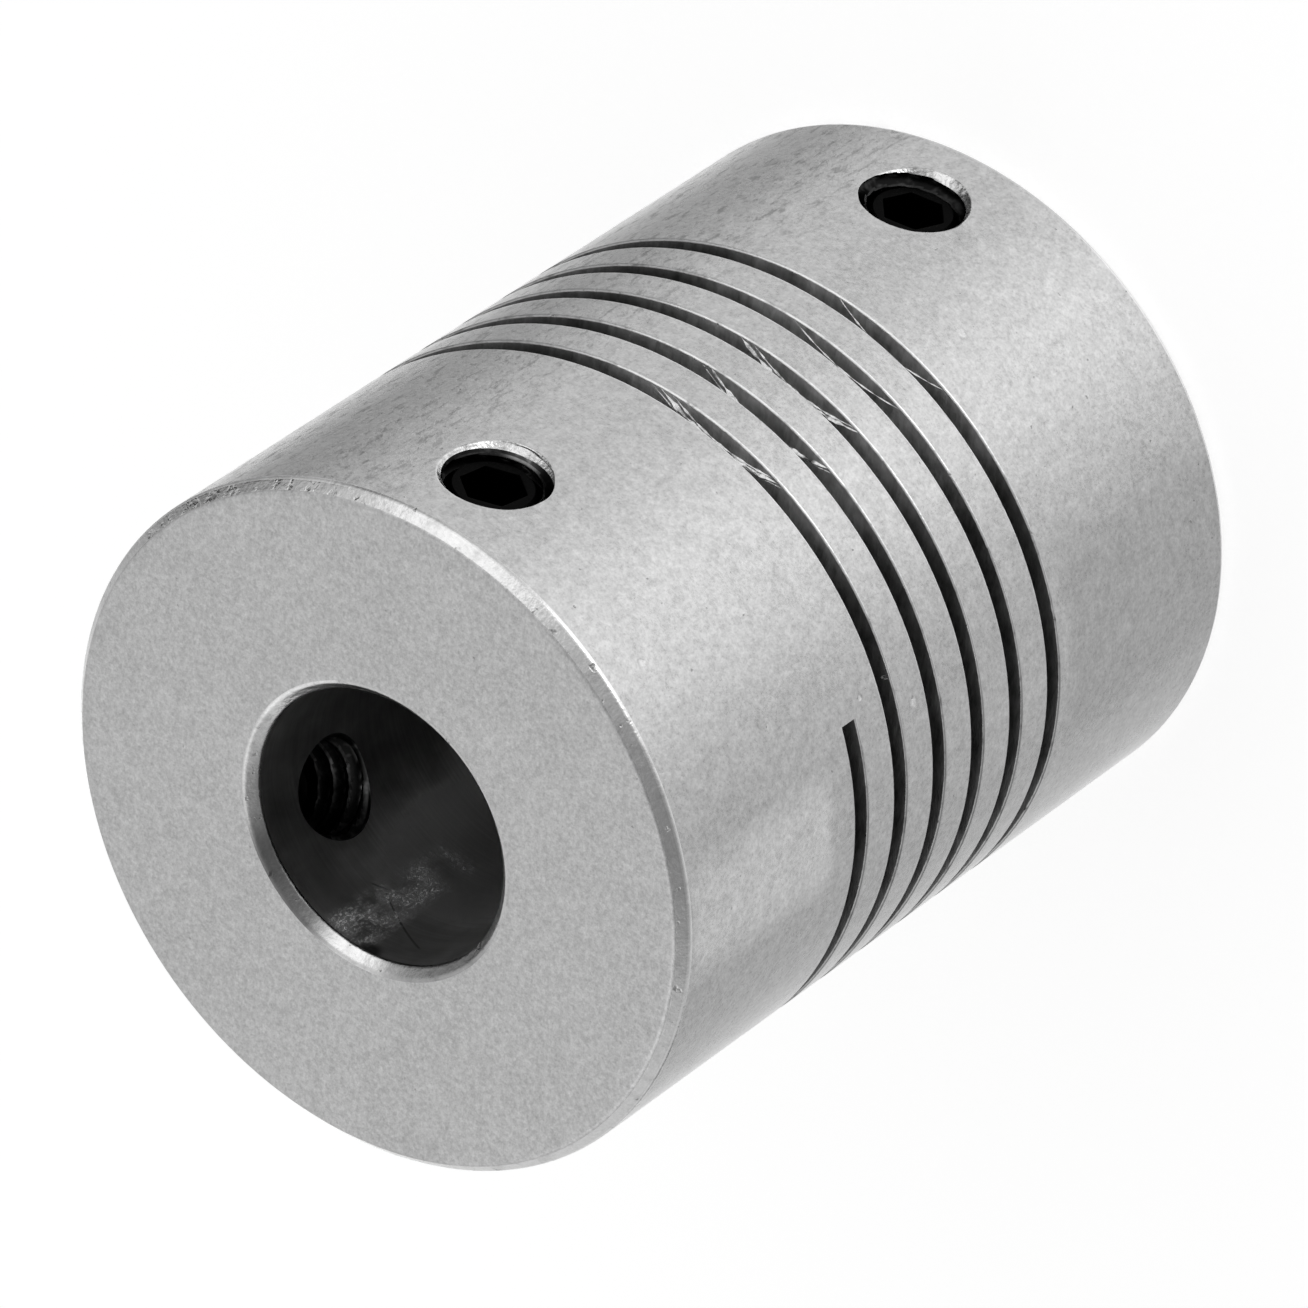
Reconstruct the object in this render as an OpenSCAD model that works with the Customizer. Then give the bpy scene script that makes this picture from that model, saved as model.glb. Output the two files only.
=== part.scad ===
// Flexible shaft coupling: one turned body with a helical cut, and four socket set screws.
// It stands on its lower end face. The origin is the centre of that face, and the shaft axis is +Z.
// The first set screw of each hub points along +X.

/* [Body] */
// Outside diameter of the body
outer_d = 25; // [24:0.5:32]
// Length from end face to end face
body_length = 32; // [28:0.5:44]
// Diameter of the through bore that takes both shafts
bore_d = 10; // [6:0.5:12]
// Width of the chamfer round the outer edge of each end face
rim_chamfer = 0.4; // [0.2:0.05:0.8]
// Width of the chamfer at each mouth of the bore
bore_chamfer = 0.35; // [0.2:0.05:0.6]

/* [Helical cut] */
// Width of the cut, measured along the axis
cut_w = 0.7; // [0.4:0.05:0.9]
// Rise of the cut in one turn
cut_pitch = 2.25; // [1.8:0.05:2.8]
// Distance from an end face to the middle of the closed end of the cut
hub_length = 10; // [8:0.5:12]
// Angle about the axis from the first set screw to the upper closed end of the cut
cut_angle = -64; // [-180:1:180]

/* [Set screws] */
// Nominal thread diameter of the set screws
screw_d = 4; // [3:0.5:5]
// Pitch of the screw thread
thread_pitch = 0.7; // [0.5:0.05:0.8]
// Length of a set screw
screw_length = 5; // [4:0.5:6]
// Distance from an end face to the axis of the set screws in that hub
screw_offset = 4; // [3:0.25:5]
// Angle about the axis between the two set screws of one hub
screw_spread = 120; // [60:1:180]
// Depth of each screw's outer end below the outside surface
screw_recess = 0.5; // [0.2:0.1:1]
// Width of the chamfer round both ends of a set screw
screw_chamfer = 0.35; // [0.2:0.05:0.5]
// Size across the flats of the hexagon socket
socket_flats = 2; // [1.2:0.1:2.2]
// Depth of the hexagon socket to the end of its flats
socket_depth = 2; // [1:0.1:2.4]
// Diameter of the cup at the point of a set screw
cup_d = 1.8; // [1:0.1:2]
// Depth of that cup
cup_depth = 0.4; // [0.2:0.05:0.6]

/* [Tapped holes] */
// Radial clearance between a set screw and its tapped hole, both drawn at the thread's pitch diameter
thread_clearance = 0.05; // [0.02:0.01:0.1]
// Width of the countersink round the outer mouth of each tapped hole
countersink_w = 0.25; // [0.1:0.01:0.5]

/* [Hidden] */

$fn = 96;
outer_r = outer_d / 2;
bore_r = bore_d / 2;

// Cutting solids run past the metal by this much
overshoot = 0.5;

// The cut runs down from the upper hub to the lower hub, clockwise as seen from above
cut_top = body_length - hub_length;
cut_turns = (cut_top - hub_length) / cut_pitch;
steps_per_turn = 48;
cut_steps = ceil(cut_turns * steps_per_turn);

// Basic profile of a metric thread: its pitch diameter is 0.65 pitches below the nominal diameter
tapped_r = (screw_d - 0.65 * thread_pitch) / 2;
screw_r = tapped_r - thread_clearance;
screw_out = outer_r - screw_recess;
socket_r = socket_flats / 2 / cos(30);
// A drill leaves a 118 degree cone at the bottom of the socket
socket_cone = socket_flats / 2 / tan(59);

upper_screws = body_length - screw_offset;
lower_screws = screw_offset;
screw_angles = [0, screw_spread];
// How far each socket's hexagon is turned about its screw's own axis
upper_socket_turns = [10, 25];
lower_socket_turns = [22, 5];

// Turned cylinder with its bore and chamfers
module turned_blank() {
    rotate_extrude()
        polygon([
            [bore_r + bore_chamfer, 0],
            [outer_r - rim_chamfer, 0],
            [outer_r, rim_chamfer],
            [outer_r, body_length - rim_chamfer],
            [outer_r - rim_chamfer, body_length],
            [bore_r + bore_chamfer, body_length],
            [bore_r, body_length - bore_chamfer],
            [bore_r, bore_chamfer]
        ]);
}

// The cut's rectangular section, carried clockwise and down along the helix.
// Its corners run inside-top, outside-top, outside-bottom, inside-bottom.
function cut_corner(k) = [
    k == 0 || k == 3 ? bore_r - overshoot : outer_r + overshoot,
    k < 2 ? cut_w / 2 : -cut_w / 2
];
function cut_point(turn, corner) = [
    corner[0] * cos(cut_angle - 360 * turn),
    corner[0] * sin(cut_angle - 360 * turn),
    cut_top - cut_pitch * turn + corner[1]
];
function cut_side(ring, k) =
    let (a = 4 * ring + k, b = 4 * ring + (k + 1) % 4)
    [[a, b, b + 4], [a, b + 4, a + 4]];

module helical_cut() {
    points = [
        for (ring = [0:cut_steps], k = [0:3])
            cut_point(cut_turns * ring / cut_steps, cut_corner(k))
    ];
    sides = [for (ring = [0:cut_steps - 1], k = [0:3]) each cut_side(ring, k)];
    last = 4 * cut_steps;
    ends = [[3, 2, 1, 0], [last, last + 1, last + 2, last + 3]];
    polyhedron(points, concat(sides, ends), convexity = 12);
}

// Radial hole from the bore to the outside, with a countersunk outer mouth
module tapped_hole(height, angle) {
    rotate([0, 0, angle])
        translate([0, 0, height])
            rotate([0, 90, 0]) {
                cylinder(r = tapped_r, h = outer_r + overshoot, $fn = 48);
                translate([0, 0, outer_r - countersink_w])
                    cylinder(
                        r1 = tapped_r,
                        r2 = tapped_r + countersink_w + overshoot,
                        h = countersink_w + overshoot,
                        $fn = 48
                    );
            }
}

module body() {
    color([0.70, 0.71, 0.71])
        difference() {
            turned_blank();
            helical_cut();
            for (height = [lower_screws, upper_screws], angle = screw_angles)
                tapped_hole(height, angle);
        }
}

// Cup-point set screw in its own frame: the socket end at the origin, the point along +Z
module set_screw() {
    difference() {
        rotate_extrude($fn = 48)
            polygon([
                [0, 0],
                [screw_r - screw_chamfer, 0],
                [screw_r, screw_chamfer],
                [screw_r, screw_length - screw_chamfer],
                [screw_r - screw_chamfer, screw_length],
                [cup_d / 2, screw_length],
                [0, screw_length - cup_depth]
            ]);
        translate([0, 0, -overshoot])
            cylinder(r = socket_r, h = overshoot + socket_depth, $fn = 6);
        translate([0, 0, socket_depth])
            cylinder(r1 = socket_flats / 2, r2 = 0, h = socket_cone, $fn = 48);
    }
}

module placed_screw(height, angle, socket_turn) {
    color([0.07, 0.07, 0.075])
        rotate([0, 0, angle])
            translate([screw_out, 0, height])
                rotate([0, -90, 0])
                    rotate([0, 0, socket_turn])
                        set_screw();
}

module upper_set_screw_1() {
    placed_screw(upper_screws, screw_angles[0], upper_socket_turns[0]);
}

module upper_set_screw_2() {
    placed_screw(upper_screws, screw_angles[1], upper_socket_turns[1]);
}

module lower_set_screw_1() {
    placed_screw(lower_screws, screw_angles[0], lower_socket_turns[0]);
}

module lower_set_screw_2() {
    placed_screw(lower_screws, screw_angles[1], lower_socket_turns[1]);
}

body();
upper_set_screw_1();
upper_set_screw_2();
lower_set_screw_1();
lower_set_screw_2();
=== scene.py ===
import math

import bmesh
import bpy
import numpy as np
from mathutils import Matrix, Vector


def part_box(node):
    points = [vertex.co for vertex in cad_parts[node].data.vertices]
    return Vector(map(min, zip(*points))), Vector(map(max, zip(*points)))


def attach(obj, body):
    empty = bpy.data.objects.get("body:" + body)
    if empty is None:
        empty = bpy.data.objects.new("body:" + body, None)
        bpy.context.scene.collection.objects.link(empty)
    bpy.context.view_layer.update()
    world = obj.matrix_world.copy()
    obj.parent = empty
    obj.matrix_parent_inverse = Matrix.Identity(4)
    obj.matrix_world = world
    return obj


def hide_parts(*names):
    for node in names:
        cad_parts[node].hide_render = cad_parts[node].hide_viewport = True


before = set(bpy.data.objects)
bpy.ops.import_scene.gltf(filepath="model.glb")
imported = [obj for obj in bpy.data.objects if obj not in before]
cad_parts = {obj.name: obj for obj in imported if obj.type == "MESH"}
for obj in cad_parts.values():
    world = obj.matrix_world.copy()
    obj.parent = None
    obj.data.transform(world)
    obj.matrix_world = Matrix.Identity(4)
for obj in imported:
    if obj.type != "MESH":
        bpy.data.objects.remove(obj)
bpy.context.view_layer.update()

# Sizes of the body, in millimetres, as in the CAD model
MM = 0.001
body_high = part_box("body")[1]
OUTER_R = round(body_high.x / MM, 3)
LENGTH = round(body_high.z / MM, 3)
BORE_R = 5.0
RIM_CHAMFER = 0.4
MOUTH_CHAMFER = 0.35
CUT_W = 0.7
CUT_PITCH = 2.25
HUB_LENGTH = 10.0
CUT_ANGLE = -64.0
CUT_TOP = LENGTH - HUB_LENGTH
CUT_TURNS = (CUT_TOP - HUB_LENGTH) / CUT_PITCH

# Set screws and their tapped holes, in millimetres and degrees
SCREW_D = 4.0
THREAD_PITCH = 0.7
SCREW_LENGTH = 5.0
SCREW_OFFSET = 4.0
SCREW_RECESS = 0.5
SCREW_ANGLES = (0.0, 120.0)
SCREW_CHAMFER = 0.35
SOCKET_HALF = 1.0
SOCKET_DEPTH = 2.0
DRILL_HALF_ANGLE = 59.0
CUP_R = 0.9
CUP_DEPTH = 0.4
COUNTERSINK_W = 0.25
THREAD_CLEARANCE = 0.05
RUNNING_GAP = 0.04
SOCKET_TURNS = {"upper": (10.0, 25.0), "lower": (22.0, 5.0)}
SCREW_HEIGHT = LENGTH - SCREW_OFFSET
SCREW_OUT = OUTER_R - SCREW_RECESS
SCREW_TIP = SCREW_OUT - SCREW_LENGTH

# A metric thread: its pitch radius, and the height of the sharp triangle that it is cut from
PITCH_R = (SCREW_D - 0.65 * THREAD_PITCH) / 2
SHARP_THREAD = 0.866 * THREAD_PITCH
HOLE_CREST = PITCH_R - SHARP_THREAD / 4
HOLE_ROOT = SCREW_D / 2
SCREW_CREST = SCREW_D / 2 - RUNNING_GAP
SCREW_ROOT = PITCH_R - 0.3 * THREAD_PITCH
THREAD_RUNOUT = 0.4
# The tapped wall takes the crests' finish, dark but for painted glints, up to this far above its crest
CREST_RISE = 0.07
# The hole's thread is cut this far along the screw from its tip and from its outer end. Between the two the
# wall stays at the root, which it reaches over these lengths.
THREAD_FROM_TIP, THREAD_FROM_END = 0.4, 0.7
TO_ROOT_AT_TIP, TO_ROOT_AT_END = 0.2, 0.1

# Broken edges: along the cut, on the chamfers, round the holes, and on a screw's socket and cup
CUT_EDGE = 0.07
TURNED_EDGE = 0.09
HOLE_EDGE = 0.03
SOCKET_EDGE = 0.04
CUP_EDGE = 0.03
EDGE_STEPS = 3

# Grid sizes: columns in a turn, and points round a hole, whose windows have as many points on their rims.
# A window's half is half its height in millimetres.
HUB_COLUMNS = 160
BEAM_COLUMNS = 150
SIDE_WINDOW = {"columns": 16, "rows": 24, "half": 2.75}
BORE_WINDOW = {"columns": 24, "rows": 16, "half": 2.45}
ROWS_TO_WINDOW = 4
MOUTH_ROUNDS = 12
PATCH_ROWS = 8
HOLE_POINTS = 80
HOLE_ROWS = {"near bore": 49, "near mouth": 24}
SCREW_POINTS = 96
SCREW_ROWS = 73

# Points closer than this are welded, in metres, and edges sharper than this stay sharp
WELD = 2e-7
SHARP_ANGLE = math.radians(35)

# Shares along a straight stretch: closer together beside both of its edges, and plain ones
BESIDE_EDGES = np.array([0, 0.06, 0.3, 0.5, 0.7, 0.94, 1])
HALVES = (0, 0.5, 1)

# The finishes of the body, in the order of its material slots
SIDE, RIM, FACE, BORE, CUT, HOLE, MOUTH, SINK, EDGE, CREST, LIP = range(11)


def on_circle(radius, angle, height):
    """Points at a radius, an angle in radians and a height about the shaft axis."""
    x, y, z = np.broadcast_arrays(radius * np.cos(angle), radius * np.sin(angle), height)
    return np.stack([x, y, z], axis=-1)


def between(start, end, shares):
    """Lines from one row of points to another: start + share * (end - start), one row a share."""
    shares = np.asarray(shares).reshape(-1, *[1] * np.ndim(start))
    return (1 - shares) * start + shares * end


def eased(before, corner, after):
    """A broken edge: the parabola (1-s)^2 a + 2s(1-s) c + s^2 b, where c is the sharp corner."""
    s = np.linspace(0, 1, EDGE_STEPS + 1).reshape(-1, *[1] * np.ndim(corner))
    return (1 - s) ** 2 * before + 2 * s * (1 - s) * corner + s**2 * after


def turn_over(points):
    """Turns the upper hub into the lower: half a turn about the level line midway between the cut's ends.
    The angle about the shaft axis becomes both - angle, and the height becomes LENGTH - height."""
    both = math.radians(2 * CUT_ANGLE - 360 * CUT_TURNS)
    x, y, z = points[..., 0], points[..., 1], points[..., 2]
    return np.stack(
        [
            x * math.cos(both) + y * math.sin(both),
            x * math.sin(both) - y * math.cos(both),
            LENGTH - z,
        ],
        axis=-1,
    )


def as_is(points):
    """Leaves the upper hub where it is."""
    return points


class Skin:
    """Grids of points that are welded into one closed piece."""

    def __init__(self, place=as_is):
        self.place = place
        self.points, self.quads, self.finishes, self.total = [], [], [], 0

    def add(self, grid, finish=0, window=None):
        """Adds a grid, rows by columns of points, as quads, without the quads of a window mask.
        The finish is one for the whole grid, or a grid of one for each row of quads or for each quad."""
        rows, columns = grid.shape[:2]
        index = self.total + np.arange(rows * columns).reshape(rows, columns)
        corners = [index[:-1, :-1], index[:-1, 1:], index[1:, 1:], index[1:, :-1]]
        quads = np.stack(corners, axis=-1)
        kept = np.ones(quads.shape[:2], bool) if window is None else ~window
        self.points.append(self.place(grid).reshape(-1, 3))
        self.quads.append(quads[kept])
        self.finishes.append(np.broadcast_to(finish, kept.shape)[kept])
        self.total += rows * columns

    def piece(self, name, materials):
        """Welds the grids, turns the faces outwards and makes the object."""
        mesh = bpy.data.meshes.new(name)
        points = np.concatenate(self.points) * MM
        mesh.from_pydata(points.tolist(), [], np.concatenate(self.quads).tolist())
        mesh.polygons.foreach_set("material_index", np.concatenate(self.finishes).astype(np.int32))
        welded = bmesh.new()
        welded.from_mesh(mesh)
        bmesh.ops.remove_doubles(welded, verts=welded.verts, dist=WELD)
        bmesh.ops.recalc_face_normals(welded, faces=welded.faces)
        welded.to_mesh(mesh)
        welded.free()
        mesh.shade_smooth()
        mesh.set_sharp_from_angle(angle=SHARP_ANGLE)
        for material in materials:
            mesh.materials.append(material)
        made = bpy.data.objects.new(name, mesh)
        bpy.context.scene.collection.objects.link(made)
        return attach(made, "root")


# The body. A hub or the beam is a section in the half plane through the axis, carried down the helix:
# at share t of a turn its angle is CUT_ANGLE - 360 t, and each point drops by drop * CUT_PITCH * t.


def helix_angle(turn):
    """Angle in radians at a number of turns down the cut from its upper end."""
    return np.radians(CUT_ANGLE - 360 * turn)


def swept(radius, height, drop, turn):
    """The grid of a section row carried down the helix."""
    radius, height, drop = (np.asarray(v, float).reshape(-1, 1) for v in (radius, height, drop))
    return on_circle(radius + 0 * turn, helix_angle(turn), height - drop * CUT_PITCH * turn)


def cut_wall(side):
    """Radii, rises and finishes of one wall of the cut, from the bore to the outside, with both edges
    broken. side is 1 where the metal is above the wall and -1 where it is below."""
    inner = np.array([BORE_R, 0.0])
    outer = np.array([OUTER_R, 0.0])
    out, up = np.array([CUT_EDGE, 0.0]), np.array([0.0, side * CUT_EDGE])
    wall = between(inner + out, outer - out, BESIDE_EDGES[1:-1])
    inner_edge = eased(inner + up, inner, inner + out)
    outer_edge = eased(outer - out, outer, outer + up)
    line = np.concatenate([inner_edge, wall, outer_edge])
    finishes = [LIP] * EDGE_STEPS + [CUT] * (len(line) - 1 - 2 * EDGE_STEPS) + [LIP] * EDGE_STEPS
    return line[:, 0], line[:, 1], np.reshape(finishes, (-1, 1))


def chamfer_line(low, high):
    """Radii and heights of a chamfer between two corners, with both edges broken.
    The low corner ends an upright wall and the high corner starts the end face."""
    low, high = np.array(low), np.array(high)
    along = TURNED_EDGE * (high - low) / np.linalg.norm(high - low)
    down = np.array([0.0, -TURNED_EDGE])
    inward = np.array([math.copysign(TURNED_EDGE, (high - low)[0]), 0.0])
    low_edge = eased(low + down, low, low + along)
    flat = between(low + along, high - along, [0.15, 0.5, 0.85])
    high_edge = eased(high - along, high, high + inward)
    line = np.concatenate([low_edge, flat, high_edge])
    return line[:, 0], line[:, 1]


# Heights at the cut's upper end: the line where the upper hub's broken edge starts, and the beam's edges
HUB_EDGE = CUT_TOP + CUT_W / 2 + CUT_EDGE
BEAM_HIGH = CUT_TOP - CUT_W / 2 - CUT_EDGE
BEAM_LOW = CUT_TOP - CUT_PITCH + CUT_W / 2 + CUT_EDGE
BEAM_ROWS = BEAM_LOW + (BEAM_HIGH - BEAM_LOW) * BESIDE_EDGES
END_ROWS = np.linspace(BEAM_HIGH, HUB_EDGE, 3)[1:]
WEDGE_DROP = (HUB_EDGE - np.concatenate([BEAM_ROWS, END_ROWS])) / CUT_PITCH


def hub_wall(window, top):
    """Heights and drops of an upright wall of the hub: the wedge that grows as the cut goes down,
    then rows up to the window round the screw hole, through it, and on to the chamfer."""
    low, high = SCREW_HEIGHT - window["half"], SCREW_HEIGHT + window["half"]
    to_window = np.linspace(HUB_EDGE, low, ROWS_TO_WINDOW + 1)[1:]
    through = np.linspace(low, high, window["rows"] + 1)[1:]
    past = [high + (top - high) * 0.7, top - 0.02, top]
    rows = np.concatenate([to_window, through, past])
    height = np.concatenate([np.full(len(WEDGE_DROP), HUB_EDGE), rows])
    drop = np.concatenate([WEDGE_DROP, np.zeros(len(rows))])
    return height, drop


def thread(depth, angle, low, high):
    """Radius of a 60 degree thread: a triangle wave along its helix, cut flat at crest and root.
    depth is the distance from the shaft axis, and angle goes right-handed about the hole."""
    turn = depth / THREAD_PITCH - angle / (2 * math.pi)
    wave = 4 * np.abs(turn % 1 - 0.5) - 1
    return np.clip(PITCH_R + SHARP_THREAD / 2 * wave, low, high)


def hole_radius(depth, angle):
    """Radius of the tapped hole: its thread, which runs out evenly over the last THREAD_RUNOUT before
    the bore, or the countersink where that is wider."""
    from_bore = depth - np.sqrt(BORE_R**2 - (PITCH_R * np.cos(angle)) ** 2)
    share = np.clip(from_bore / THREAD_RUNOUT, 0, 1)
    cut = PITCH_R + share * (thread(depth, angle, HOLE_CREST, HOLE_ROOT) - PITCH_R)
    return np.maximum(cut, PITCH_R + depth - (OUTER_R - COUNTERSINK_W))


def hole_mouth(cylinder_r, angle):
    """Depth and radius where the hole meets a cylinder: depth^2 + (radius cos angle)^2 = cylinder_r^2.
    Each depends on the other, so they are worked out in rounds that close in on the answer."""
    radius = np.full_like(angle, PITCH_R)
    for _ in range(MOUTH_ROUNDS):
        depth = np.sqrt(cylinder_r**2 - (radius * np.cos(angle)) ** 2)
        radius = 0.5 * (radius + hole_radius(depth, angle))
    return depth, radius


def in_hole(hole_angle, depth, radius, angle):
    """Points at a depth, a radius and an angle about the hole's own axis."""
    a = math.radians(hole_angle)
    along = np.array([math.cos(a), math.sin(a), 0])
    across = np.array([-math.sin(a), math.cos(a), 0])
    up = np.array([0, 0, 1.0])
    depth, side, rise = np.broadcast_arrays(depth, radius * np.cos(angle), radius * np.sin(angle))
    return depth[..., None] * along + side[..., None] * across + (SCREW_HEIGHT + rise[..., None]) * up


def window_rim(low_row, window, first_column):
    """Rows and columns of the points round a window, from its first side's middle upwards and round."""
    high_row, last_column = low_row + window["rows"], first_column + window["columns"]
    middle = low_row + window["rows"] // 2
    wide, tall = window["columns"], window["rows"]
    rows = [
        np.arange(middle, high_row),
        np.full(wide, high_row),
        np.arange(high_row, low_row, -1),
        np.full(wide, low_row),
        np.arange(low_row, middle + 1),
    ]
    columns = [
        np.full(high_row - middle, first_column),
        np.arange(first_column, last_column),
        np.full(tall, last_column),
        np.arange(last_column, first_column, -1),
        np.full(middle - low_row + 1, first_column),
    ]
    return np.concatenate(rows), np.concatenate(columns)


def hub_cylinder(skin, cylinder_r, top, window, finish, hole_angles):
    """One upright wall of the hub, with a window at each hole. A patch fills each window up to the hole's
    edge: its rows run from the window's rim to the round edge at shares 1 - (1 - t)^1.5. For each hole it
    gives the broken edge's last row, the sharp edge and the depths of that."""
    turn = np.linspace(0, 1, HUB_COLUMNS + 1)
    height, drop = hub_wall(window, top)
    grid = swept(np.full_like(height, cylinder_r), height, drop, turn)
    low_row = len(WEDGE_DROP) + ROWS_TO_WINDOW - 1
    missing = np.zeros((len(height) - 1, HUB_COLUMNS), bool)
    round_hole = np.linspace(0, 2 * math.pi, HOLE_POINTS + 1)
    mouths = []
    for hole_angle in hole_angles:
        share = (CUT_ANGLE - hole_angle) % 360 / 360
        first = round(share * HUB_COLUMNS) - window["columns"] // 2
        missing[low_row : low_row + window["rows"], first : first + window["columns"]] = True
        rows, columns = window_rim(low_row, window, first)
        rim_arc = cylinder_r * np.radians(360 * (share - turn[columns]))
        rim_rise = height[rows] - SCREW_HEIGHT
        depth, radius = hole_mouth(cylinder_r, round_hole)
        edge_arc = cylinder_r * np.arcsin(radius * np.cos(round_hole) / cylinder_r)
        edge_rise = radius * np.sin(round_hole)
        shares = 1 - (1 - np.linspace(0, 1, PATCH_ROWS)) ** 1.5
        arc = between(rim_arc, edge_arc + HOLE_EDGE * np.cos(round_hole), shares)
        rise = between(rim_rise, edge_rise + HOLE_EDGE * np.sin(round_hole), shares)
        patch = on_circle(cylinder_r, math.radians(hole_angle) + arc / cylinder_r, SCREW_HEIGHT + rise)
        skin.add(patch, finish)
        mouths.append((patch[-1], in_hole(hole_angle, depth, radius, round_hole), depth))
    skin.add(grid, finish, missing)
    return mouths


def tapped_hole(skin, hole_angle, inner, outer):
    """The threaded wall from the bore to the outside. Behind the screw it stays at the root of the thread.
    inner and outer are the hole's mouths, as hub_cylinder gives them."""
    angle = np.linspace(0, 2 * math.pi, HOLE_POINTS + 1)
    level = np.ones_like(angle)
    start, end = inner[2] + HOLE_EDGE, outer[2] - HOLE_EDGE
    past_tip, below_end = SCREW_TIP + THREAD_FROM_TIP, SCREW_OUT - THREAD_FROM_END
    root_start, root_end = past_tip + TO_ROOT_AT_TIP, below_end - TO_ROOT_AT_END
    sink = OUTER_R - COUNTERSINK_W
    near_bore = between(start, past_tip * level, np.linspace(0, 1, HOLE_ROWS["near bore"]))
    behind = between(root_start * level, root_end * level, HALVES)
    near_mouth = between(below_end * level, sink * level, np.linspace(0, 1, HOLE_ROWS["near mouth"]))
    countersink = between(sink * level, end, [0.25, 0.5, 0.75, 1])
    depth = np.concatenate([near_bore, behind, near_mouth, countersink])
    radius = hole_radius(depth, angle)
    radius[len(near_bore) : len(near_bore) + len(behind)] = HOLE_ROOT
    wall = in_hole(hole_angle, depth, radius, angle)
    skin.add(eased(inner[0], inner[1], wall[0]), HOLE)
    middle = 0.25 * (radius[:-1, :-1] + radius[1:, :-1] + radius[:-1, 1:] + radius[1:, 1:])
    finishes = np.where(middle < HOLE_CREST + CREST_RISE, CREST, HOLE)
    finishes[-len(countersink) :] = SINK
    skin.add(wall, finishes)
    skin.add(eased(wall[-1], outer[1], outer[0]), SINK)


def hub(skin, hole_angles):
    """A hub with its two tapped holes, from the end face down to the cut."""
    turn = np.linspace(0, 1, HUB_COLUMNS + 1)
    side_top = LENGTH - RIM_CHAMFER - TURNED_EDGE
    bore_top = LENGTH - MOUTH_CHAMFER - TURNED_EDGE
    outer_mouths = hub_cylinder(skin, OUTER_R, side_top, SIDE_WINDOW, SIDE, hole_angles)
    inner_mouths = hub_cylinder(skin, BORE_R, bore_top, BORE_WINDOW, BORE, hole_angles)
    for hole_angle, inner, outer in zip(hole_angles, inner_mouths, outer_mouths):
        tapped_hole(skin, hole_angle, inner, outer)
    rim_r, rim_z = chamfer_line([OUTER_R, LENGTH - RIM_CHAMFER], [OUTER_R - RIM_CHAMFER, LENGTH])
    rim_finishes = [EDGE] * EDGE_STEPS + [RIM] * (len(rim_r) - 1 - 2 * EDGE_STEPS) + [FACE] * EDGE_STEPS
    skin.add(swept(rim_r, rim_z, 0 * rim_z, turn), np.reshape(rim_finishes, (-1, 1)))
    mouth_r, mouth_z = chamfer_line([BORE_R, LENGTH - MOUTH_CHAMFER], [BORE_R + MOUTH_CHAMFER, LENGTH])
    skin.add(swept(mouth_r, mouth_z, 0 * mouth_z, turn), MOUTH)
    face_r = between(mouth_r[-1], rim_r[-1], BESIDE_EDGES)
    skin.add(swept(face_r, 0 * face_r + LENGTH, 0 * face_r, turn), FACE)
    wall_r, rise, finishes = cut_wall(1)
    skin.add(swept(wall_r, HUB_EDGE - CUT_EDGE + rise, 1 + 0 * rise, turn), finishes)
    end_low = swept(wall_r, CUT_TOP - CUT_W / 2 - rise, 0 * rise, np.zeros(1))[:, 0]
    end_high = swept(wall_r, CUT_TOP + CUT_W / 2 + rise, 0 * rise, np.zeros(1))[:, 0]
    skin.add(between(end_low, end_high, HALVES), CUT)


def beam(skin):
    """The coil between the hubs: the same section all the way, between one pass of the cut and the next."""
    turns = CUT_TURNS - 1
    turn = np.linspace(0, turns, round(BEAM_COLUMNS * turns) + 1)
    falls = np.ones_like(BEAM_ROWS)
    for radius, finish in ((OUTER_R, SIDE), (BORE_R, BORE)):
        skin.add(swept(radius * falls, BEAM_ROWS, falls, turn), finish)
    for side, corner in ((-1, BEAM_HIGH + CUT_EDGE), (1, BEAM_LOW - CUT_EDGE)):
        wall_r, rise, finishes = cut_wall(side)
        skin.add(swept(wall_r, corner + rise, np.ones_like(rise), turn), finishes)


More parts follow.
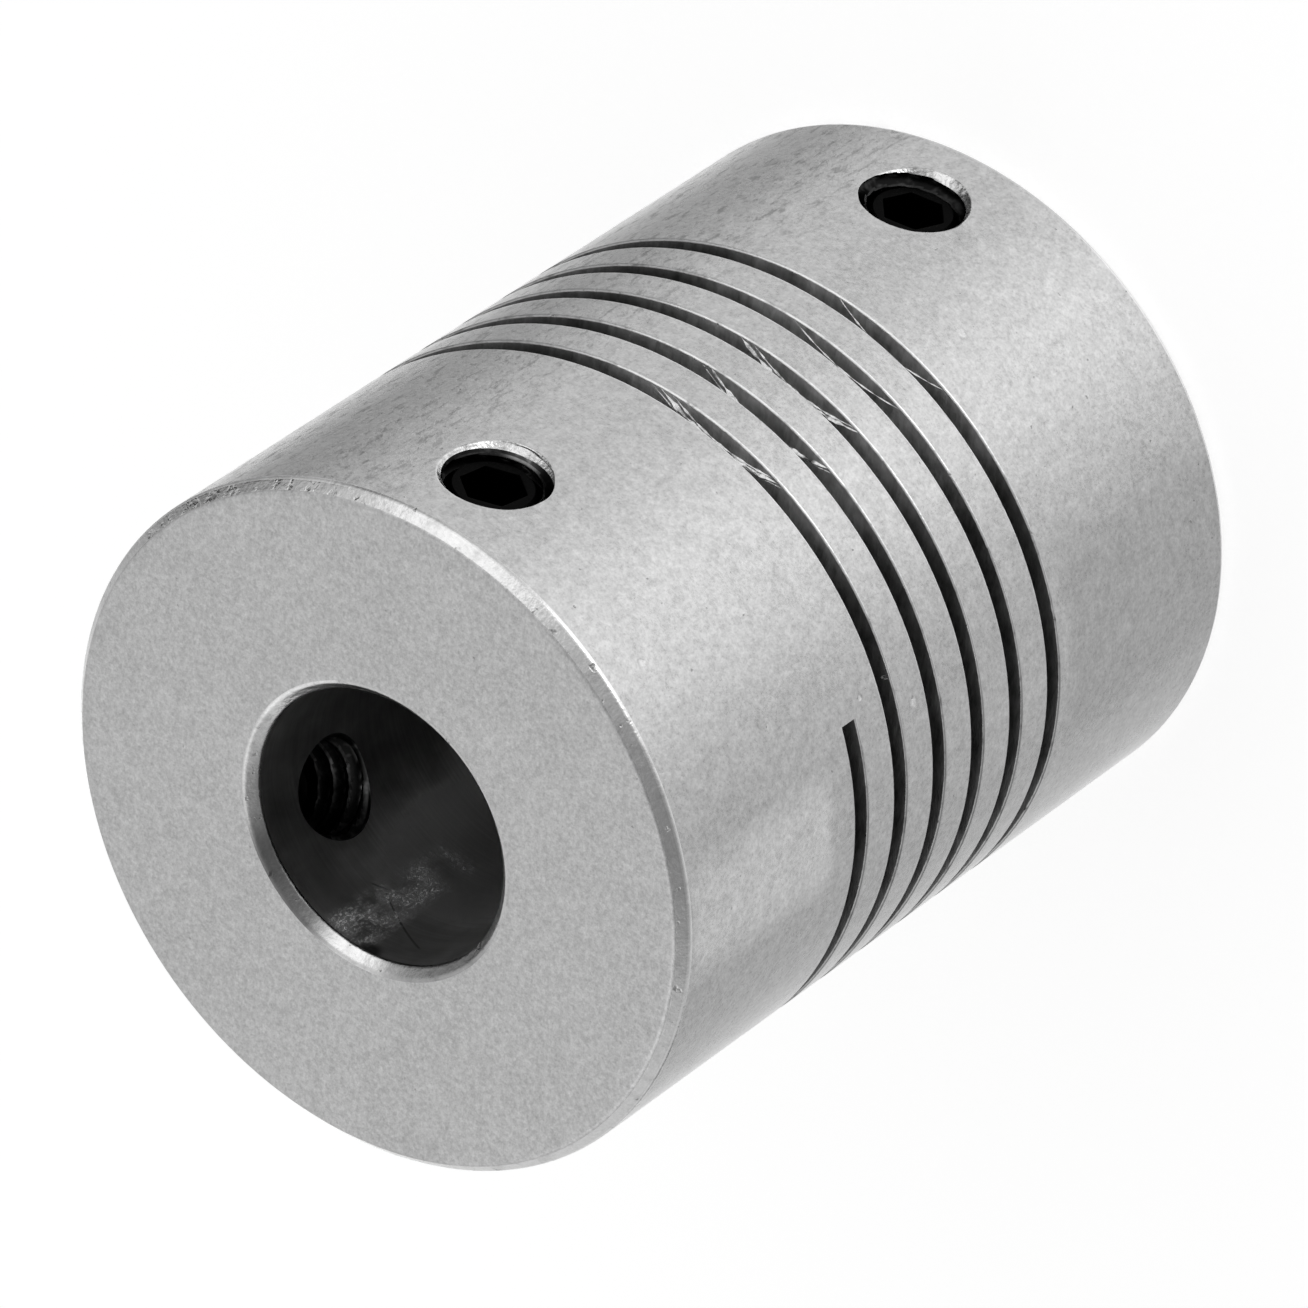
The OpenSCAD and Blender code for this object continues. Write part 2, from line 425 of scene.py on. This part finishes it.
def set_screw(skin, hole_angle, socket_turn):
    """A cup-point screw with a hexagon socket: one surface round the screw's axis, from the bottom of the
    socket out over its end, along the thread and into the cup. The hexagon's radius at an angle is half the
    flats divided by the cosine of the angle from the nearest flat's middle."""
    start = math.radians(90 - socket_turn)
    angle = start + np.linspace(0, 2 * math.pi, SCREW_POINTS + 1)
    from_flat = (angle - start) % (math.pi / 3) - math.pi / 6
    hexagon = SOCKET_HALF / np.cos(from_flat)
    ring = np.ones_like(angle)
    floor = SCREW_OUT - SOCKET_DEPTH
    drilled = SOCKET_HALF - 0.02
    cone_depth = SOCKET_HALF / math.tan(math.radians(DRILL_HALF_ANGLE))
    below_end, past_flats = SCREW_OUT - SOCKET_EDGE, hexagon + SOCKET_EDGE
    end_r = PITCH_R - THREAD_CLEARANCE - SCREW_CHAMFER
    cup_edge_r, cup_edge = CUP_R + CUP_EDGE, SCREW_TIP + CUP_EDGE

    def row(depth, radius):
        return in_hole(hole_angle, depth * ring, radius * ring, angle)

    def rows(low, high, shares):
        return between(row(*low), row(*high), shares)

    skin.add(rows((floor - cone_depth, 0.0), (floor, drilled), [0, 0.3, 0.6, 0.9, 1]))
    skin.add(rows((floor, drilled), (floor, hexagon), [0, 1]))
    skin.add(rows((floor, hexagon), (below_end, hexagon), [0, 0.03, 0.3, 0.6, 0.9, 1]))
    skin.add(eased(row(below_end, hexagon), row(SCREW_OUT, hexagon), row(SCREW_OUT, past_flats)))
    skin.add(rows((SCREW_OUT, past_flats), (SCREW_OUT, end_r), HALVES))
    depth = np.linspace(SCREW_OUT, SCREW_TIP, SCREW_ROWS).reshape(-1, 1) * ring
    flank = thread(depth, angle, SCREW_ROOT, SCREW_CREST)
    chamfer = end_r + np.minimum(SCREW_OUT - depth, depth - SCREW_TIP)
    skin.add(in_hole(hole_angle, depth, np.minimum(flank, chamfer), angle))
    skin.add(rows((SCREW_TIP, end_r), (SCREW_TIP, cup_edge_r), HALVES))
    skin.add(rows((SCREW_TIP, cup_edge_r), (cup_edge, CUP_R), [0, 1]))
    skin.add(rows((cup_edge, CUP_R), (SCREW_TIP + CUP_DEPTH, 0.0), [0, 0.3, 0.7, 1]))


# Slivers that the saw tore up on the upward wall of the cut, in an arc that starts and ends at the outside.
# Each has a middle azimuth and a half width in degrees, a reach into the metal at its middle and a height
# in millimetres, then the passes of the cut that it is on.
SLIVERS = (
    (-16.3, 12.0, 0.74, 0.16, (1, 2, 3)),
    (-16.9, 10.2, 0.62, 0.07, (1, 3)),
    (-15.9, 13.4, 0.84, 0.05, (1, 2)),
    (-17.5, 11.0, 0.60, 0.05, (4, 5)),
    (-62.5, 0.4, 0.3, 0.1, (1,)),
)
SLIVER_STATIONS = 72


def sliver(skin, middle, half_width, reach, high, cut_pass):
    """A torn ridge: its depth in the cut is reach * (1 - u^2), where u runs from -1 to 1 along it. Its
    section is a wedge whose outer side leans back. Two sines and both ends, by 1 - u^8, thin it out, and
    each pass has it a little to one side and at its own depth."""
    u = np.linspace(-1, 1, SLIVER_STATIONS)
    azimuth = middle + 1.2 * math.sin(2.3 * cut_pass) + half_width * u
    turn = (CUT_ANGLE - azimuth) / 360 + cut_pass
    waves = 0.55 + 0.3 * np.sin(17 * u + 2.1 * cut_pass) + 0.15 * np.sin(43 * u + middle * cut_pass)
    size = high * waves * (1 - u**8)
    depth = CUT_EDGE + reach * (1 - u**2) * (1 + 0.12 * math.sin(4.1 * cut_pass))
    section_in = np.array([-0.9, -0.45, 0.0, 0.25, 0.3, -0.9]).reshape(-1, 1)
    section_up = np.array([-0.2, 0.55, 1.0, 0.6, -0.2, -0.2]).reshape(-1, 1)
    wall = CUT_TOP - CUT_W / 2 - CUT_PITCH * turn
    skin.add(on_circle(OUTER_R - depth - section_in * size, np.radians(azimuth), wall + section_up * size))


# Materials


class Wire:
    """A shader socket that Python's arithmetic works on."""

    def __init__(self, finish, socket):
        self.finish, self.socket = finish, socket

    def maths(self, operation, *values):
        return self.finish.node("ShaderNodeMath", {"operation": operation}, dict(enumerate(values)))

    def __add__(self, other):
        return self.maths("ADD", self, other)

    def __radd__(self, other):
        return self.maths("ADD", other, self)

    def __sub__(self, other):
        return self.maths("SUBTRACT", self, other)

    def __rsub__(self, other):
        return self.maths("SUBTRACT", other, self)

    def __mul__(self, other):
        return self.maths("MULTIPLY", self, other)

    def __rmul__(self, other):
        return self.maths("MULTIPLY", other, self)

    def exp(self):
        return self.maths("EXPONENT", self)

    def __abs__(self):
        return self.maths("ABSOLUTE", self)

    def above(self, limit):
        """1 above a limit and 0 below it."""
        return self.maths("GREATER_THAN", self, limit)

    def at_least(self, limit):
        """The value, or the limit where that is more."""
        return self.maths("MAXIMUM", self, limit)

    def step(self, low, high):
        """0 below low, 1 above high and a smooth rise between."""
        settings = {"interpolation_type": "SMOOTHSTEP"}
        inputs = {"Value": self, "From Min": low, "From Max": high}
        return self.finish.node("ShaderNodeMapRange", settings, inputs)


class Finish:
    """A material, or the world, and the nodes that make it."""

    def __init__(self, owner):
        self.owner = owner
        owner.use_nodes = True
        self.tree = owner.node_tree

    def node(self, kind, settings=None, inputs=None, output=0):
        """Adds a node: first its settings, then the values or wires of its sockets."""
        made = self.tree.nodes.new(kind)
        for name, value in (settings or {}).items():
            setattr(made, name, value)
        for name, value in (inputs or {}).items():
            self.feed(made.inputs[name], value)
        return Wire(self, made.outputs[output])

    def feed(self, socket, value):
        if isinstance(value, Wire):
            self.tree.links.new(value.socket, socket)
        else:
            socket.default_value = value

    def vector(self, operation, first, second=(0, 0, 0), output=0):
        """A Vector Math node on one or two vectors."""
        settings = {"operation": operation}
        return self.node("ShaderNodeVectorMath", settings, {0: first, 1: second}, output)

    def place(self, stretch=(1, 1, 1)):
        """The point on the object in millimetres. stretch draws a pattern on it out along the axes."""
        scale = [1 / MM / times for times in stretch]
        point = self.node("ShaderNodeTexCoord", output="Object")
        return self.node("ShaderNodeMapping", inputs={"Vector": point, "Scale": scale})

    def noise(self, place, size, detail, roughness):
        """Cloudy noise from 0 to 1, whose blots are about this many millimetres across."""
        inputs = {"Vector": place, "Scale": 1 / size, "Detail": detail, "Roughness": roughness}
        return self.node("ShaderNodeTexNoise", inputs=inputs, output="Fac")

    def rays(self):
        """1 for what the camera sees straight, and 1 for what metal mirrors or glass lets through."""
        seen, mirrored, let_through = (
            self.node("ShaderNodeLightPath", output=f"Is {kind} Ray")
            for kind in ("Camera", "Glossy", "Transmission")
        )
        return seen, mirrored + let_through


def grey(level):
    """A neutral colour."""
    return (level, level, level, 1.0)


class Metal(Finish):
    """A metallic finish, whose tone multiplies one level of grey."""

    def __init__(self, name, level, roughness, edge_tint=1.0):
        super().__init__(bpy.data.materials.new(name))
        self.level, self.roughness = level, roughness
        self.shader = self.tree.nodes["Principled BSDF"]
        self.shader.inputs["Metallic"].default_value = 1.0
        self.shader.inputs["Specular Tint"].default_value = grey(edge_tint)

    def facing(self, azimuth, half_width, soft):
        """1 within half_width degrees of an azimuth about the axis, and 0 from soft degrees more on."""
        a = math.radians(azimuth)
        unit = self.vector("NORMALIZE", self.vector("MULTIPLY", self.place(), (1, 1, 0)))
        cosine = self.vector("DOT_PRODUCT", unit, (math.cos(a), math.sin(a), 0), "Value")
        return cosine.step(math.cos(math.radians(half_width + soft)), math.cos(math.radians(half_width)))

    def reach(self):
        """Distance from the shaft axis in millimetres."""
        return self.vector("LENGTH", self.vector("MULTIPLY", self.place(), (1, 1, 0)), output="Value")

    def height(self):
        """Height above the lower end face in millimetres."""
        return self.node("ShaderNodeSeparateXYZ", inputs={0: self.place()}, output="Z")

    def heights(self, low, high, soft):
        """1 between two heights in millimetres, and 0 from soft millimetres more on."""
        z = self.height()
        return z.step(low - soft, low) * (1 - z.step(high, high + soft))

    def patch(self, place, half_width, soft, fade):
        """1 at a place on the side or in the bore, and 0 from soft degrees or fade millimetres more on."""
        round_axis = self.facing(place["azimuth"], half_width, soft)
        return round_axis * self.heights(place["low"], place["high"], fade)

    def scratch(self, radius_at, start, end, width):
        """1 on a line across a cylinder between two places, each an azimuth and a height."""
        first, last = (Vector(on_circle(radius_at, math.radians(a), z)) for a, z in (start, end))
        middle, along = (first + last) / 2, (last - first).normalized()
        across = along.cross(Vector((middle.x, middle.y, 0)).normalized())
        half_length, end_fade = (last - first).length / 2, 0.3
        from_middle = self.vector("SUBTRACT", self.place(), middle)
        past_end = abs(self.vector("DOT_PRODUCT", from_middle, along, "Value"))
        past_side = abs(self.vector("DOT_PRODUCT", from_middle, across, "Value"))
        in_length = 1 - past_end.step(half_length - end_fade, half_length)
        return in_length * (1 - past_side.step(width / 3, width))

    def spot(self, radius_at, azimuth, height, size):
        """1 near a point on a cylinder and 0 from a distance of size on."""
        a = math.radians(azimuth)
        point = (radius_at * math.cos(a), radius_at * math.sin(a), height)
        away = self.vector("DISTANCE", self.place(), point, "Value")
        return 1 - away.step(0.3 * size, size)

    def finished(self, tone, roughness, relief=None, depth=0.0):
        """Joins the tone, the roughness and the relief, whose depth is in millimetres, to the shader."""
        colour = self.node("ShaderNodeCombineColor", inputs={0: tone, 1: tone, 2: tone})
        self.feed(self.shader.inputs["Base Color"], self.vector("MULTIPLY", colour, grey(self.level)[:3]))
        self.feed(self.shader.inputs["Roughness"], roughness)
        if relief is not None:
            bump = {"Strength": 1.0, "Distance": depth * MM, "Height": relief}
            self.feed(self.shader.inputs["Normal"], self.node("ShaderNodeBump", inputs=bump))
        return self.owner


def tumbled(metal, stretch, grain_size, blotchy):
    """The grain of tumbled aluminium: a tone near 1, its clouds, its fine grain and its pits."""
    cloud = metal.noise(metal.place(stretch), 2.2, 4.0, 0.62) - 0.5
    grain = metal.noise(metal.place(), grain_size, 3.0, 0.75) - 0.5
    blotch = metal.noise(metal.place(), 0.5, 2.0, 0.5) - 0.5
    pits = metal.noise(metal.place(), 0.2, 1.0, 0.5).step(0.76, 0.84)
    tone = (1.0 + 0.24 * cloud + 1.0 * grain + blotchy * blotch) * (1 - 0.3 * pits)
    return tone, cloud, grain, pits


# Places on the rim and the bore's mouth, as azimuths in degrees
DINGED = 39
DARKER_EDGE = -4
SMEARED = 141
POLISHED = 46
FRESH = 175
WORN = -136

# Places on the side, as azimuths in degrees and heights in millimetres. A dent has its size as well.
BURNISHED = {"azimuth": -79, "low": 24.0, "high": 31.0}
DULL = {"azimuth": -76, "low": 0.5, "high": 9.0}
SCUFFED = 30
DENTS = ((-67.5, 18.5, 0.24), (-61.5, 21.15, 0.16), (-38.0, 29.8, 0.22), (-24.0, 8.2, 0.25))


def side_finish():
    """The turned and tumbled outside: streaks along the axis, scuffs near the screws, and small dents."""
    metal = Metal("satin_side", 0.56, 0.29)
    tone, cloud, grain, pits = tumbled(metal, (1, 1, 3.5), 0.17, 0.4)
    burnished = metal.patch(BURNISHED, 3, 9, 0.8)
    dull = metal.patch(DULL, 8, 14, 1.0)
    streaks = metal.noise(metal.place((0.3, 0.3, 0.75)), 1.0, 4.0, 0.7)
    scuffs = streaks.step(0.5, 0.68) * metal.facing(SCUFFED, 8, 22)
    dents = sum(metal.spot(OUTER_R, *dent) for dent in DENTS)
    tone = tone * (1 + 0.3 * burnished) * (1 - 0.14 * dull) * (1.02 - 0.33 * scuffs) * (1 + 0.25 * dents)
    relief = grain - 1.1 * pits - 0.5 * scuffs - 2.0 * dents
    return metal.finished(tone, metal.roughness + 0.1 * cloud + 0.12 * grain + 0.1 * scuffs, relief, 0.014)


def face_finish():
    """The end faces: an even fine grain with a few dark pits."""
    metal = Metal("satin_face", 0.57, 0.32)
    tone, cloud, grain, pits = tumbled(metal, (1, 1, 1), 0.14, 0.25)
    tone = tone + 0.12 * grain - 0.04 * cloud
    return metal.finished(tone, metal.roughness + 0.1 * grain, grain - 1.5 * pits, 0.012)


def edge_metal(name, level, roughness, dark, depth=0.012):
    """A chamfer or broken edge: brighter than the faces, with blots and nicks. dark is how dark its blots
    are. Gives the metal, its tone, its roughness, its relief and the depth of that."""
    metal = Metal(name, level, roughness)
    blots = metal.noise(metal.place(), 0.8, 3.0, 0.6)
    grain = metal.noise(metal.place(), 0.15, 2.0, 0.6) - 0.5
    nicks = metal.noise(metal.place(), 0.4, 2.0, 0.6).step(0.66, 0.78)
    tone = (1.06 - dark * blots.step(0.48, 0.72) + 0.3 * grain) * (1 - 0.4 * nicks)
    return metal, tone, metal.roughness + 0.2 * (blots - 0.5), 2 * blots + grain - 2 * nicks, depth


def edge_finish(*how):
    """A chamfer or broken edge with nothing more to it."""
    metal, *rest = edge_metal(*how)
    return metal.finished(*rest)


def rim_finish():
    """The chamfers of the end faces, with dings on the side where the body is scuffed."""
    metal, tone, roughness, relief, depth = edge_metal("turned_edge", 0.72, 0.22, 0.2)
    dings = metal.noise(metal.place(), 0.55, 3.0, 0.65).step(0.5, 0.66)
    dings = dings * metal.facing(DINGED, 13, 13)
    return metal.finished(tone * (1 - 0.32 * dings), roughness + 0.1 * dings, relief - 2.5 * dings, depth)


def outer_edge_finish():
    """The outer edges of the rims: bright, rougher where they are dinged and painted brighter there as a
    highlight, and darker about one azimuth.
    """
    metal, tone, roughness, *rest = edge_metal("broken_edge", 0.85, 0.22, 0.15)
    # dinged: real dings, rougher, and painted brighter as a highlight; worn: only darker, about one azimuth
    dinged = metal.facing(DINGED, 16, 14)
    worn = metal.facing(DARKER_EDGE, 10, 12)
    return metal.finished(tone * (1 + 0.15 * dinged) * (1 - 0.25 * worn), roughness + 0.3 * dinged, *rest)


def mouth_finish():
    """The chamfers of the bore: dark where it is smeared and bright where it is fresh."""
    metal, tone, roughness, relief, depth = edge_metal("bore_mouth", 0.6, 0.25, 0.25)
    smeared = metal.facing(SMEARED, 10, 22)
    fresh = metal.facing(FRESH, 10, 10)
    worn = metal.facing(WORN, 18, 18)
    polished = metal.facing(POLISHED, 12, 16)
    tone = tone * (1 - 0.66 * smeared) * (1 + 0.25 * fresh + 0.35 * polished) * (1 - 0.3 * worn)
    return metal.finished(tone, roughness, relief, depth)


# Places in the bore: the side that is painted brighter, as painted light, the rubbed place on that, a dark
# smudge and two scratches.
# Azimuths are in degrees, and heights and widths in millimetres.
LIT = -178
RUBBED = {"azimuth": 171, "low": 25.6, "high": 31.0}
SMUDGE = (-177.0, 31.5, 0.6)
# Distances from the bore's middle between which the painted light on its brighter side fades towards its
# mouths
PAINTED_LIGHT_TO, PAINTED_LIGHT_GONE_FROM = 8.5, 14.8
SCRATCH_W = 0.06
SCRATCHES = (((164.0, 28.6), (199.2, 30.55)), ((158.0, 28.9), (181.5, 27.65)))


def bore_finish():
    """The bored wall: painted light on one side, strongest away from the mouths, with faint rings left by
    the tool, a rubbed place that sparkles, two scratches and a dark smudge."""
    metal = Metal("bored_wall", 0.3, 0.42)
    # Painted light on the bore's brighter side
    lit = metal.facing(LIT, 10, 36)
    rings = metal.noise(metal.place((4, 4, 0.12)), 1.0, 3.0, 0.6) - 0.5
    cloud = metal.noise(metal.place(), 1.6, 3.0, 0.6) - 0.5
    sparkle = metal.noise(metal.place((1, 0.6, 1)), 0.16, 3.0, 0.75)
    rubbed = metal.patch(RUBBED, 3, 10, 0.9)
    rubbed = rubbed * (0.3 + 1.3 * sparkle.step(0.46, 0.72)) * (cloud + 0.5).step(0.34, 0.6)
    scratches = sum(metal.scratch(BORE_R, *line, SCRATCH_W) for line in SCRATCHES)
    smudge = metal.spot(BORE_R, *SMUDGE) + 0.6 * scratches
    # Painted light on that side, full deep in the bore and fading towards its mouths
    deep = 1 - abs(metal.height() - LENGTH / 2).step(PAINTED_LIGHT_TO, PAINTED_LIGHT_GONE_FROM)
    painted_light = deep * metal.facing(LIT, 15, 48)
    tone = 1 + 0.6 * rings + 1.0 * cloud + 0.8 * lit + 3.3 * rubbed
    tone = tone * (1 + 2.3 * painted_light) * (1 - 0.75 * smudge)
    roughness = metal.roughness + 0.15 * cloud + 0.15 * rubbed
    return metal.finished(tone, roughness, 0.5 * rings + rubbed * sparkle, 0.02)


# The walls of the cut are painted brighter about one azimuth, a painted highlight, and their edges get a
# painted highlight on the same side.
# To one hand of that the walls get a weaker painted highlight, and to the other the edges are rubbed
# rougher and painted a little brighter. All are azimuths in degrees.
CUT_HIGHLIGHT = -16
CUT_SIDE_HIGHLIGHT = -54
LIP_HIGHLIGHT = -30
RUBBED_LIP_SHEEN = 45


def lip_finish():
    """The broken edges of the cut: ragged, with a painted highlight about one azimuth, and rougher with a
    little painted sheen about another.
    """
    metal, tone, roughness, *rest = edge_metal("cut_lip", 0.45, 0.3, 0.5)
    # worn marks a painted highlight on the edges; rubbed marks rougher edges that are also painted a little
    # brighter
    worn = metal.facing(LIP_HIGHLIGHT, 28, 25)
    rubbed = metal.facing(RUBBED_LIP_SHEEN, 22, 16)
    return metal.finished(tone * (0.8 + 1.1 * worn + 0.4 * rubbed), roughness + 0.25 * rubbed, *rest)


def cut_finish():
    """The sawn walls of the cut: dull, with marks that run into the metal, and a painted highlight about
    one azimuth, with a weaker one at another.
    """
    metal = Metal("sawn_cut", 0.8, 0.5)
    # Painted highlight on the walls of the cut: strong about one azimuth and weaker about another
    painted_highlight = 0.25 + 0.6 * metal.facing(CUT_HIGHLIGHT, 6, 30) + 0.14 * metal.facing(CUT_SIDE_HIGHLIGHT, 12, 16)
    marks = metal.noise(metal.place((0.8, 0.22, 2)), 1.0, 3.0, 0.65) - 0.5
    cloud = metal.noise(metal.place(), 0.9, 2.0, 0.5) - 0.5
    tone = painted_highlight * (1 + 0.9 * marks + 1.2 * cloud)
    return metal.finished(tone, metal.roughness + 0.2 * marks, marks, 0.02)


# Where the threads get painted glints: a distance from the shaft axis, an azimuth, a height and a size
THREAD_GLINTS = ((6.2, 115.0, 26.5, 1.3), (12.0, 0.0, 26.3, 1.0))


def thread_glints(metal):
    """1 in the middle of each of those places."""
    return sum(metal.spot(*place) for place in THREAD_GLINTS)


def thread_finish():
    """The tapped wall: painted nearly black, as painted shade in the hole and a painted reflection of the
    black screw, with painted light beside the bore and painted glints in two places.
    """
    # The very low level paints the shade in the hole and the black screw that the wall mirrors
    metal = Metal("tapped_wall", 0.017, 0.25, 0.3)
    blots = metal.noise(metal.place(), 0.5, 2.0, 0.6)
    # Painted light on the threads just beside the bore
    painted_light = 1 - metal.reach().step(BORE_R + 0.5, BORE_R + 1.4)
    tone = (0.6 + 2.0 * blots.step(0.5, 0.74)) * (1 + 6 * painted_light + 4 * thread_glints(metal))
    return metal.finished(tone, metal.roughness + 0.15 * blots)


def crest_finish():
    """The crests of the tapped threads: dark, with painted glints in two places."""
    metal, tone, *rest = edge_metal("crest_glints", 0.1, 0.3, 0.7)
    return metal.finished(tone * (0.25 + 1.9 * thread_glints(metal)), *rest)


def black_oxide():
    """The screws: black, slightly oily, with a fine grain."""
    metal = Metal("black_oxide", 0.005, 0.3, 0.55)
    grain = metal.noise(metal.place(), 0.12, 3.0, 0.6)
    return metal.finished(0.5 + grain, metal.roughness + 0.15 * grain, grain, 0.006)


body_finishes = [
    side_finish(),
    rim_finish(),
    face_finish(),
    bore_finish(),
    cut_finish(),
    thread_finish(),
    mouth_finish(),
    edge_finish("countersink", 0.7, 0.25, 0.8, 0.03),
    outer_edge_finish(),
    crest_finish(),
    lip_finish(),
]
sliver_finish = edge_finish("torn_metal", 0.72, 0.36, 0.9, 0.03)
screw_finish = black_oxide()

# Build the body and the screws. The lower hub is the upper one turned over.
screw_places = {
    "upper": (as_is, SCREW_ANGLES),
    "lower": (turn_over, [2 * CUT_ANGLE - 360 * CUT_TURNS - angle for angle in SCREW_ANGLES]),
}
body_skin = Skin()
for place, hole_angles in screw_places.values():
    body_skin.place = place
    hub(body_skin, hole_angles)
body_skin.place = as_is
beam(body_skin)
body = body_skin.piece("coupling_body", body_finishes)
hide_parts("body")

torn = Skin()
for *shape, passes in SLIVERS:
    for cut_pass in passes:
        sliver(torn, *shape, cut_pass)
torn.piece("saw_slivers", [sliver_finish])

for hub_name, (place, hole_angles) in screw_places.items():
    for number, hole_angle in enumerate(hole_angles):
        skin = Skin(place)
        set_screw(skin, hole_angle, SOCKET_TURNS[hub_name][number])
        screw = skin.piece(f"{hub_name}_screw_{number + 1}", [screw_finish])
        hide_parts(f"{hub_name}_set_screw_{number + 1}")


# The stage: a pale floor, a soft studio all round, a lamp and the camera


def compass(azimuth, elevation):
    """The unit vector at an azimuth, counted from the camera's, and an elevation, in degrees."""
    a, e = math.radians(CAMERA_AZIMUTH + azimuth), math.radians(elevation)
    return Vector((math.cos(e) * math.cos(a), math.cos(e) * math.sin(a), math.sin(e)))


# The photograph's view: aim point, distance, lens and sensor in millimetres, and angles in degrees
AIM = Vector((-0.432, -0.121, 16.276))
CAMERA_DISTANCE = 429.457
CAMERA_AZIMUTH = -36.310
CAMERA_ELEVATION = 45.128
CAMERA_ROLL = 124.294
CAMERA_LENS = 350.5
CAMERA_SENSOR = 36.0
# The nearest and the furthest that it sees, in metres
CAMERA_CLIP = (0.01, 20.0)

# What the metal mirrors: an even level with soft panels and dark flags on it.
# Each has an azimuth from the camera's, an elevation, a half width in degrees, and a strength.
STUDIO_LEVEL = 0.777
STUDIO_PANELS = {
    "side_softbox": (53, 27, 26, 0.35),
    "back_softbox": (233, 47, 22, 0.65),
    "front_table": (7, -43, 28, 0.60),
    "back_table": (177, -44, 13, 1.41),
    "front_card": (4, 0, 14, 2.2),
    "left_table": (95, -44, 20, 0.68),
    "front_flag": (-51, 30, 60, -0.54),
    "left_flag": (108, -19, 32, -1.20),
    "right_flag": (-115, -25, 15, -0.55),
}
# The studio is nowhere darker than this
SHADE = 0.05
# The plain light on the floor
PLAIN_LIGHT = 0.5

# The floor: half its width in metres, its grey, its roughness, its own glow, which brings it up to white,
# and the little light that comes up through the bore
FLOOR_HALF = 3.0
FLOOR_GREY = 0.5
FLOOR_ROUGHNESS = 0.9
FLOOR_GLOW = 0.75
BORE_LIGHT = 0.05
# How far the floor lies below the lower end face, so that the two are never level, and how far from the
# shaft axis metal sees it, both in millimetres
FLOOR_DROP = 0.02
FLOOR_SEEN_R = BORE_R + 1

# The lamp, with angles in degrees, from the camera's azimuth, and metres and watts
SOFTBOX = {"azimuth": 55, "elevation": 33, "distance": 0.5, "size": 0.35, "watts": 0.12}


def studio(finish):
    """The level plus, for each panel, strength * exp((cos a - 1) / (1 - cos w)),
    where a is the angle from the panel's middle and w its half width."""
    direction = finish.node("ShaderNodeTexCoord", output="Generated")
    light = STUDIO_LEVEL
    for azimuth, elevation, width, strength in STUDIO_PANELS.values():
        cosine = finish.vector("DOT_PRODUCT", direction, compass(azimuth, elevation), "Value")
        fall = 1 / (1 - math.cos(math.radians(width)))
        light = light + strength * ((cosine - 1) * fall).exp()
    return light.at_least(SHADE)


def surround():
    """The world: white for the camera, the studio for metal, and plain grey light for the floor."""
    world = bpy.data.worlds.new("surround")
    bpy.context.scene.world = world
    finish = Finish(world)
    background = finish.tree.nodes["Background"]
    background.inputs["Color"].default_value = grey(1.0)
    camera_ray, mirrored = finish.rays()
    plain = (1 - camera_ray - mirrored) * PLAIN_LIGHT
    finish.feed(background.inputs["Strength"], camera_ray + mirrored * studio(finish) + plain)


def floor():
    """A white floor that keeps the coupling's shadow and is open when looked at from below. Metal sees
    the studio through it, but for the part under the bore, which stays so that the bore is dark."""
    mesh = bpy.data.meshes.new("floor")
    corners = [(x * FLOOR_HALF, y * FLOOR_HALF, 0) for x, y in ((-1, -1), (1, -1), (1, 1), (-1, 1))]
    mesh.from_pydata(corners, [], [(0, 1, 2, 3)])
    finish = Finish(bpy.data.materials.new("pale_floor"))
    shader = finish.tree.nodes["Principled BSDF"]
    shader.inputs["Base Color"].default_value = grey(FLOOR_GREY)
    shader.inputs["Roughness"].default_value = FLOOR_ROUGHNESS
    shader.inputs["Specular IOR Level"].default_value = 0.0
    shader.inputs["Emission Color"].default_value = grey(1.0)
    camera_ray, mirrored = finish.rays()
    finish.feed(shader.inputs["Emission Strength"], FLOOR_GLOW * camera_ray + BORE_LIGHT * mirrored)
    from_axis = finish.vector("LENGTH", finish.place(), output="Value")
    backfacing = finish.node("ShaderNodeNewGeometry", output="Backfacing")
    open_floor = mirrored * from_axis.above(FLOOR_SEEN_R) + camera_ray * backfacing
    white = Wire(finish, shader.outputs["BSDF"])
    clear = finish.node("ShaderNodeBsdfTransparent")
    mixed = finish.node("ShaderNodeMixShader", inputs={0: open_floor, 1: white, 2: clear})
    finish.feed(finish.tree.nodes["Material Output"].inputs["Surface"], mixed)
    mesh.materials.append(finish.owner)
    made = bpy.data.objects.new("floor", mesh)
    made.location.z = -FLOOR_DROP * MM
    bpy.context.scene.collection.objects.link(made)


def lamp(name, azimuth, elevation, distance, size, watts):
    """A square soft lamp that looks at the middle of the coupling."""
    light = bpy.data.lights.new(name, "AREA")
    light.energy = watts
    light.size = size
    made = bpy.data.objects.new(name, light)
    bpy.context.scene.collection.objects.link(made)
    away = compass(azimuth, elevation)
    made.location = Vector((0, 0, LENGTH / 2 * MM)) + distance * away
    made.rotation_mode = "QUATERNION"
    made.rotation_quaternion = away.to_track_quat("Z", "Y")


def camera():
    """The camera on its line through the aim point, turned about that line by the roll."""
    away = compass(0, CAMERA_ELEVATION)
    data = bpy.data.cameras.new("camera")
    data.lens, data.sensor_width = CAMERA_LENS, CAMERA_SENSOR
    data.clip_start, data.clip_end = CAMERA_CLIP
    made = bpy.data.objects.new("camera", data)
    bpy.context.scene.collection.objects.link(made)
    upright = away.to_track_quat("Z", "Y").to_matrix()
    rolled = upright @ Matrix.Rotation(-math.radians(CAMERA_ROLL), 3, "Z")
    made.matrix_world = Matrix.Translation((AIM + CAMERA_DISTANCE * away) * MM) @ rolled.to_4x4()
    bpy.context.scene.camera = made


floor()
surround()
camera()
lamp("softbox", **SOFTBOX)
bpy.context.scene.view_settings.view_transform = "Standard"
